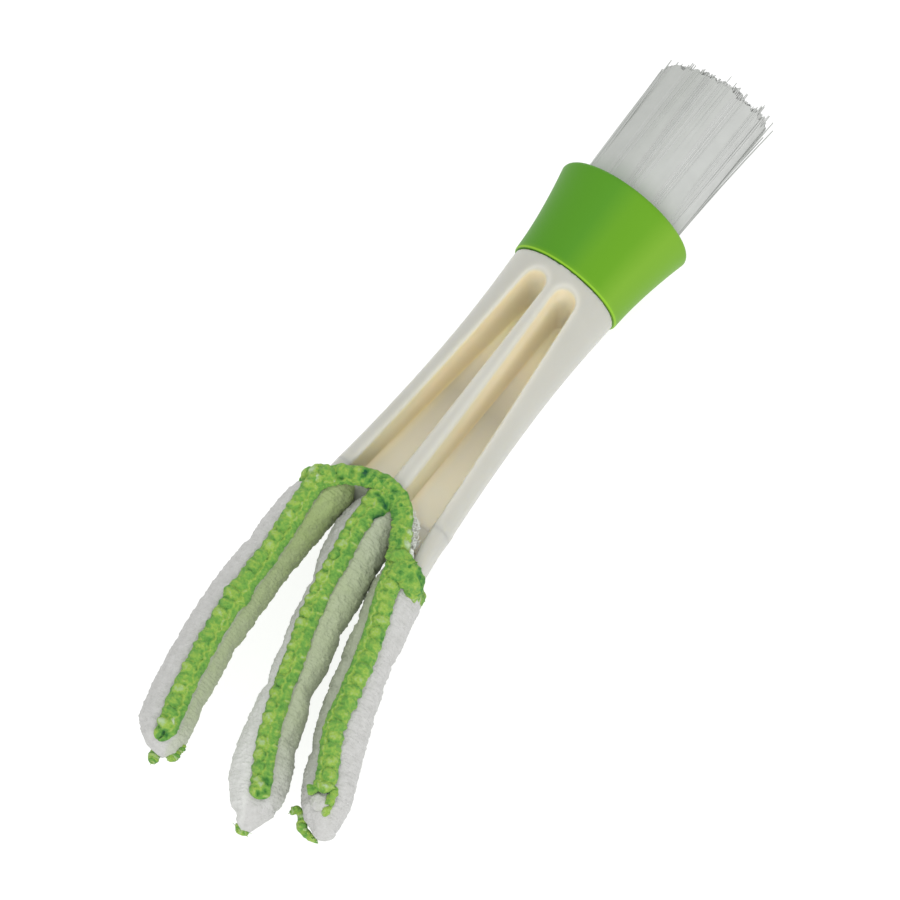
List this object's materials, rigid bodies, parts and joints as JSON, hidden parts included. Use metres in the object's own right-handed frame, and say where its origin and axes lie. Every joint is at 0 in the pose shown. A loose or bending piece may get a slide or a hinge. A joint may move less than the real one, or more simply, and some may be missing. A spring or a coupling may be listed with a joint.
{
  "type": "vent cleaning brush",
  "caption": "Double-ended hand tool for vents and blinds: a round soft bristle brush at one end and curved fingers in a terry cloth sleeve at the other.",
  "frame": {"origin": "middle of the base of the tool's bounding box, as it lies on its back", "axes": "+Y along the handle towards the bristle tips, +Z out of the slotted front, +X to the right of the slotted front when the bristles point up"},
  "size_m": [0.049, 0.18, 0.0308],
  "materials": {
    "ivory_plastic": "satin ivory moulding",
    "green_plastic": "satin leaf green moulding",
    "white_nylon": "fine translucent white filament",
    "white_terry": "white microfibre terry",
    "green_thread": "thick fluffy green overlock thread"
  },
  "bodies": {
    "handle_and_brush": {"handle": "ivory_plastic", "collar": "green_plastic", "brush_block": "ivory_plastic", "tuft_centre": "white_nylon", "tuft_inner_1": "white_nylon", "tuft_inner_2": "white_nylon", "tuft_inner_3": "white_nylon", "tuft_inner_4": "white_nylon", "tuft_inner_5": "white_nylon", "tuft_inner_6": "white_nylon", "tuft_outer_1": "white_nylon", "tuft_outer_2": "white_nylon", "tuft_outer_3": "white_nylon", "tuft_outer_4": "white_nylon", "tuft_outer_5": "white_nylon", "tuft_outer_6": "white_nylon", "tuft_outer_7": "white_nylon", "tuft_outer_8": "white_nylon", "tuft_outer_9": "white_nylon", "tuft_outer_10": "white_nylon", "tuft_outer_11": "white_nylon", "tuft_outer_12": "white_nylon", "hem_front": "green_thread", "hem_back": "green_thread", "crotch_cloth_left": "white_terry", "crotch_cloth_right": "white_terry"},
    "left_finger": {"finger_blade_left": "ivory_plastic", "finger_cloth_left": "white_terry", "front_seam_left": "green_thread", "back_seam_left": "green_thread", "thread_tail_left": "green_thread", "hem_left": "green_thread"},
    "middle_finger": {"finger_blade_middle": "ivory_plastic", "finger_cloth_middle": "white_terry", "front_seam_middle": "green_thread", "back_seam_middle": "green_thread", "thread_tail_middle": "green_thread"},
    "right_finger": {"finger_blade_right": "ivory_plastic", "finger_cloth_right": "white_terry", "front_seam_right": "green_thread", "back_seam_right": "green_thread", "thread_tail_right": "green_thread", "hem_right": "green_thread"}
  },
  "joints": [
    {"name": "left_finger_flex", "type": "hinge", "parent": "handle_and_brush", "child": "left_finger", "pos_m": [-0.01903, -0.01919, 0.0154], "axis": [0, 0, 1], "range_deg": [-8, 4], "stiffness_Nm_per_rad": 0.65},
    {"name": "middle_finger_flex", "type": "hinge", "parent": "handle_and_brush", "child": "middle_finger", "pos_m": [-0.00633, -0.01919, 0.0154], "axis": [0, 0, 1], "range_deg": [-5, 1.2], "stiffness_Nm_per_rad": 0.65},
    {"name": "right_finger_flex", "type": "hinge", "parent": "handle_and_brush", "child": "right_finger", "pos_m": [0.00597, -0.01919, 0.0154], "axis": [0, 0, 1], "range_deg": [-1, 8], "stiffness_Nm_per_rad": 0.65}
  ]
}
